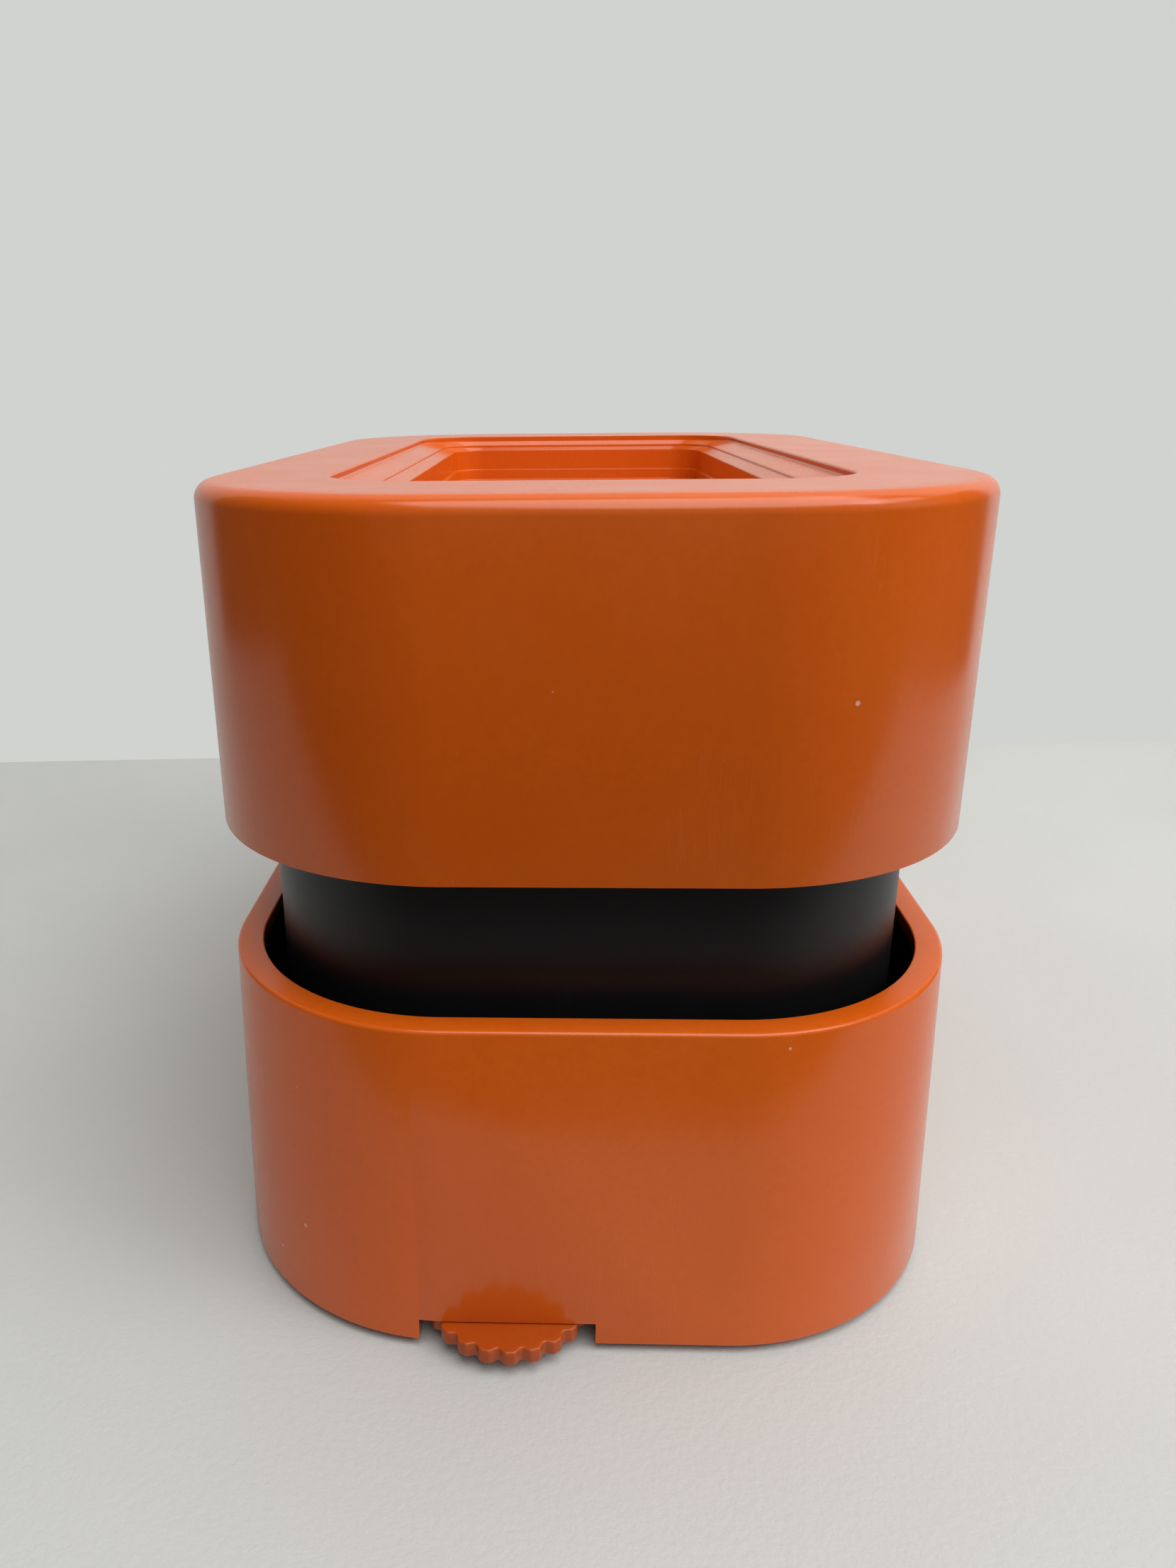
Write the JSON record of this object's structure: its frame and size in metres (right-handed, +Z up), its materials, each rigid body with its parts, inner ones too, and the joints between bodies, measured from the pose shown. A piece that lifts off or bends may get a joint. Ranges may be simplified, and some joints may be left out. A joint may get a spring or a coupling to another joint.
{
  "type": "kitchen spring scale",
  "caption": "Rounded rectangular spring kitchen scale with a black load carrier sinking into its base, a thumb zero wheel, and a cover that turns over to be the bowl.",
  "frame": {"origin": "centre of the bounding box's footprint, on the table the feet stand on", "axes": "+Z up; +Y along the long side, away from the end with the zero wheel; -X is the side with the reading window"},
  "size_m": [0.1024, 0.1774, 0.1104],
  "materials": {
    "orange_abs": "glossy moulded ABS, fine scratches",
    "black_abs": "satin black moulded plastic",
    "zinc_steel": "zinc plated pressed steel",
    "brass": "turned brass",
    "ivory_plastic": "ivory plastic with printed graduations",
    "clear_acrylic": "clear acrylic magnifier",
    "red_paint": "red painted wire",
    "grey_rubber": "soft rubber"
  },
  "bodies": {
    "base": {"base_shell": "orange_abs", "inner_liner": "black_abs", "bottom_plate": "black_abs", "rubber_foot_1": "grey_rubber", "rubber_foot_2": "grey_rubber", "rubber_foot_3": "grey_rubber", "rubber_foot_4": "grey_rubber", "plate_screw_1": "zinc_steel", "plate_screw_2": "zinc_steel", "plate_screw_3": "zinc_steel", "plate_screw_4": "zinc_steel", "window_bezel": "black_abs", "magnifier_lens": "clear_acrylic", "chassis_frame": "zinc_steel", "deck_screw_1": "zinc_steel", "deck_screw_2": "zinc_steel", "deck_screw_3": "zinc_steel", "deck_screw_4": "zinc_steel", "deck_screw_5": "zinc_steel", "deck_screw_6": "zinc_steel", "lower_fixed_pin": "zinc_steel", "upper_fixed_pin": "zinc_steel", "overload_stop_1": "grey_rubber", "overload_stop_2": "grey_rubber", "drum_bracket": "zinc_steel", "index_pointer": "red_paint", "main_spring": "zinc_steel", "lever_bracket": "zinc_steel", "lever_pin": "zinc_steel"},
    "carrier": {"load_carrier": "black_abs", "carrier_bracket": "zinc_steel", "carrier_screw_1": "zinc_steel", "carrier_screw_2": "zinc_steel", "carrier_screw_3": "zinc_steel", "lower_carrier_pin": "zinc_steel", "upper_carrier_pin": "zinc_steel", "rack_bar": "zinc_steel"},
    "lower_arm": {"lower_arm": "zinc_steel"},
    "upper_arm": {"upper_arm": "zinc_steel"},
    "dial": {"dial_drum": "ivory_plastic", "drum_shaft": "zinc_steel", "pinion": "brass"},
    "zero_lever": {"zero_lever": "zinc_steel", "spring_seat": "black_abs"},
    "zero_wheel": {"zero_wheel": "orange_abs", "zero_screw": "zinc_steel"},
    "zero_nut": {"zero_nut": "brass"},
    "cover": {"cover_bowl": "orange_abs"}
  },
  "joints": [
    {"name": "load_travel", "type": "slide", "parent": "base", "child": "carrier", "axis": [0, 0, -1], "range_m": [0, 0.014], "stiffness_N_per_m": 1400, "springref_m": -0.004, "deforming": ["main_spring"]},
    {"name": "lower_arm_swing", "type": "hinge", "parent": "base", "child": "lower_arm", "pos_m": [0.002, -0.01761, 0.03], "axis": [1, 0, 0], "range_deg": [-13.5, 0]},
    {"name": "upper_arm_swing", "type": "hinge", "parent": "base", "child": "upper_arm", "pos_m": [0.002, -0.01761, 0.07], "axis": [1, 0, 0], "range_deg": [-13.5, 0]},
    {"name": "dial_spin", "type": "hinge", "parent": "base", "child": "dial", "pos_m": [-0.026, 0.00239, 0.024], "axis": [0, 1, 0], "range_deg": [0, 268]},
    {"name": "zero_wheel_turn", "type": "hinge", "parent": "base", "child": "zero_wheel", "pos_m": [-0.0106, -0.07761, 0.003], "axis": [0, 0, 1], "range_deg": [-540, 540]},
    {"name": "zero_nut_slide", "type": "slide", "parent": "base", "child": "zero_nut", "axis": [0, 0, 1], "range_m": [-0.00075, 0.00075]},
    {"name": "zero_lever_swing", "type": "hinge", "parent": "base", "child": "zero_lever", "pos_m": [-0.00512, -0.03761, 0.01095], "axis": [1, 0, 0], "range_deg": [-1.08, 1.08]},
    {"name": "cover_lift", "type": "slide", "parent": "carrier", "child": "cover", "axis": [0, 0, 1], "range_m": [0, 0.08]}
  ],
  "couplings": [
    {"joint": "lower_arm_swing", "follows": "load_travel", "rad_per_m": -16.667},
    {"joint": "upper_arm_swing", "follows": "load_travel", "rad_per_m": -16.667},
    {"joint": "dial_spin", "follows": "load_travel", "rad_per_m": 333.33},
    {"joint": "zero_wheel_turn", "follows": "zero_nut_slide", "rad_per_m": -12566},
    {"joint": "zero_lever_swing", "follows": "zero_nut_slide", "rad_per_m": -25}
  ]
}
